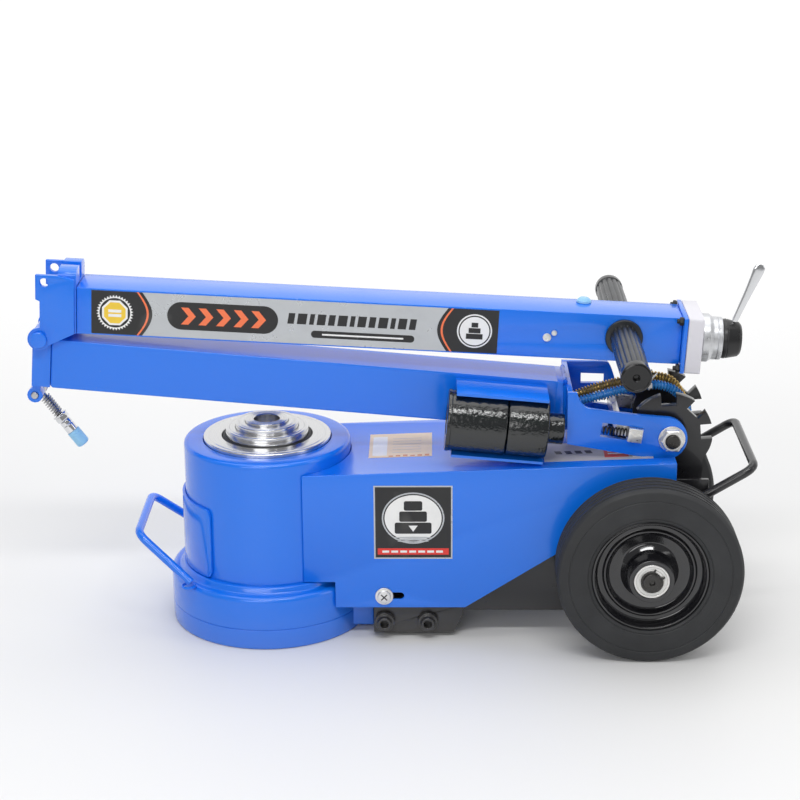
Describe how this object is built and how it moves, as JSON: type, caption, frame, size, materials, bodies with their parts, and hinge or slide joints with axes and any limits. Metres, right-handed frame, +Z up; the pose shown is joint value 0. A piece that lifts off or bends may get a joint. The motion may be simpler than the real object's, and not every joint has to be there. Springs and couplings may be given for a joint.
{
  "type": "car jack",
  "caption": "Air-hydraulic truck jack on a round base, with nested rams, a hooded pump, two wheels and a long handle that folds in half over the ram.",
  "frame": {"origin": "on the ground, under the rams' common axis, at the middle of the round base's foot", "axes": "+Z up along the rams, +X from the rams to the wheels, +Y to the jack's right-hand side along the axle"},
  "size_m": [0.8047, 0.342, 0.4098],
  "materials": {
    "blue_paint": "gloss",
    "black_paint": "satin",
    "chrome": "polished",
    "steel": "satin",
    "cast_alloy": "satin",
    "tyre_rubber": "matt",
    "seal_rubber": "matt",
    "grip_rubber": "matt",
    "black_plastic": "satin",
    "hose_blue": "gloss",
    "hose_bronze": "gloss",
    "sleeve_plastic": "gloss"
  },
  "bodies": {
    "chassis": {"base_casting": "blue_paint", "cylinder_tube": "blue_paint", "gland_ring": "chrome", "wiper_seal": "seal_rubber", "cylinder_band": "blue_paint", "front_handle": "blue_paint", "hood_cover": "blue_paint", "hood_screw_left": "steel", "hood_screw_right": "steel", "pump_block": "black_paint", "pump_plug_front": "black_paint", "pump_plug_rear": "black_paint", "air_motor": "cast_alloy", "chassis_side_left": "black_paint", "chassis_side_right": "black_paint", "sector_plate_left": "black_paint", "sector_plate_right": "black_paint", "sector_cross_bar": "black_paint", "rear_handle": "black_paint", "axle": "steel"},
    "ram_1": {"ram_stage_1": "chrome"},
    "ram_2": {"ram_stage_2": "chrome"},
    "saddle": {"saddle": "chrome"},
    "wheel_left": {"tyre_left": "tyre_rubber", "rim_left": "black_paint", "wheel_bearing_left": "chrome"},
    "wheel_right": {"tyre_right": "tyre_rubber", "rim_right": "black_paint", "wheel_bearing_right": "chrome"},
    "lower_handle": {"lower_arm": "blue_paint", "hinge_leaf": "blue_paint", "fold_pin": "steel", "latch_pin": "steel", "fork_cheek_left": "blue_paint", "fork_cheek_right": "blue_paint", "fork_web": "blue_paint", "pivot_bolt": "steel", "pivot_nut": "chrome", "lock_spring_left": "steel", "lock_spring_right": "steel", "adapter_holder": "blue_paint", "hose_left": "hose_blue", "hose_right": "hose_bronze"},
    "lock_yoke": {"lock_yoke": "steel"},
    "latch": {"latch_bolt": "steel", "latch_nut": "chrome", "latch_spring": "steel", "latch_sleeve": "sleeve_plastic"},
    "adapters": {"adapter_long": "black_paint", "adapter_short": "black_paint"},
    "upper_handle": {"upper_arm": "blue_paint", "hinge_bracket": "blue_paint", "grip_bar": "steel", "grip_left": "grip_rubber", "grip_right": "grip_rubber", "end_flange": "blue_paint", "valve_block": "cast_alloy", "valve_body": "cast_alloy"},
    "valve_control": {"valve_knob": "black_plastic", "valve_lever": "chrome"}
  },
  "joints": [
    {"name": "ram_1_extend", "type": "slide", "parent": "chassis", "child": "ram_1", "axis": [0, 0, 1], "range_m": [0, 0.1]},
    {"name": "ram_2_extend", "type": "slide", "parent": "ram_1", "child": "ram_2", "axis": [0, 0, 1], "range_m": [0, 0.1]},
    {"name": "saddle_extend", "type": "slide", "parent": "ram_2", "child": "saddle", "axis": [0, 0, 1], "range_m": [0, 0.09]},
    {"name": "wheel_left_spin", "type": "hinge", "parent": "chassis", "child": "wheel_left", "pos_m": [0.4165, -0.122, 0.1], "axis": [0, 1, 0], "continuous": true},
    {"name": "wheel_right_spin", "type": "hinge", "parent": "chassis", "child": "wheel_right", "pos_m": [0.4165, 0.122, 0.1], "axis": [0, 1, 0], "continuous": true},
    {"name": "handle_raise", "type": "hinge", "parent": "chassis", "child": "lower_handle", "pos_m": [0.4433, 0, 0.227], "axis": [0, 1, 0], "range_deg": [0, 135], "deforming": ["hose_left", "hose_right"]},
    {"name": "handle_unfold", "type": "hinge", "parent": "lower_handle", "child": "upper_handle", "pos_m": [-0.2415, 0, 0.333], "axis": [0, -1, 0], "range_deg": [0, 178]},
    {"name": "lock_pull", "type": "slide", "parent": "lower_handle", "child": "lock_yoke", "axis": [-0.989, 0, 0.1478], "range_m": [0, 0.026], "stiffness_N_per_m": 600, "springref_m": -0.01, "deforming": ["lock_spring_left", "lock_spring_right"]},
    {"name": "latch_swing", "type": "hinge", "parent": "lower_handle", "child": "latch", "pos_m": [-0.25257, 0, 0.26522], "axis": [0, 1, 0], "range_deg": [-15, 131]},
    {"name": "adapters_slide_out", "type": "slide", "parent": "lower_handle", "child": "adapters", "axis": [-0.996, 0, 0.0889], "range_m": [0, 0.12]},
    {"name": "valve_turn", "type": "hinge", "parent": "upper_handle", "child": "valve_control", "pos_m": [0.45312, 0, 0.32471], "axis": [0.9984, 0, -0.0558], "range_deg": [-45, 45]}
  ],
  "couplings": [
    {"joint": "handle_unfold", "follows": "handle_raise", "ratio": 1.318},
    {"joint": "ram_1_extend", "follows": "handle_raise", "m_per_rad": 0.0424},
    {"joint": "ram_2_extend", "follows": "handle_raise", "m_per_rad": 0.0424},
    {"joint": "saddle_extend", "follows": "handle_raise", "m_per_rad": 0.0381}
  ]
}
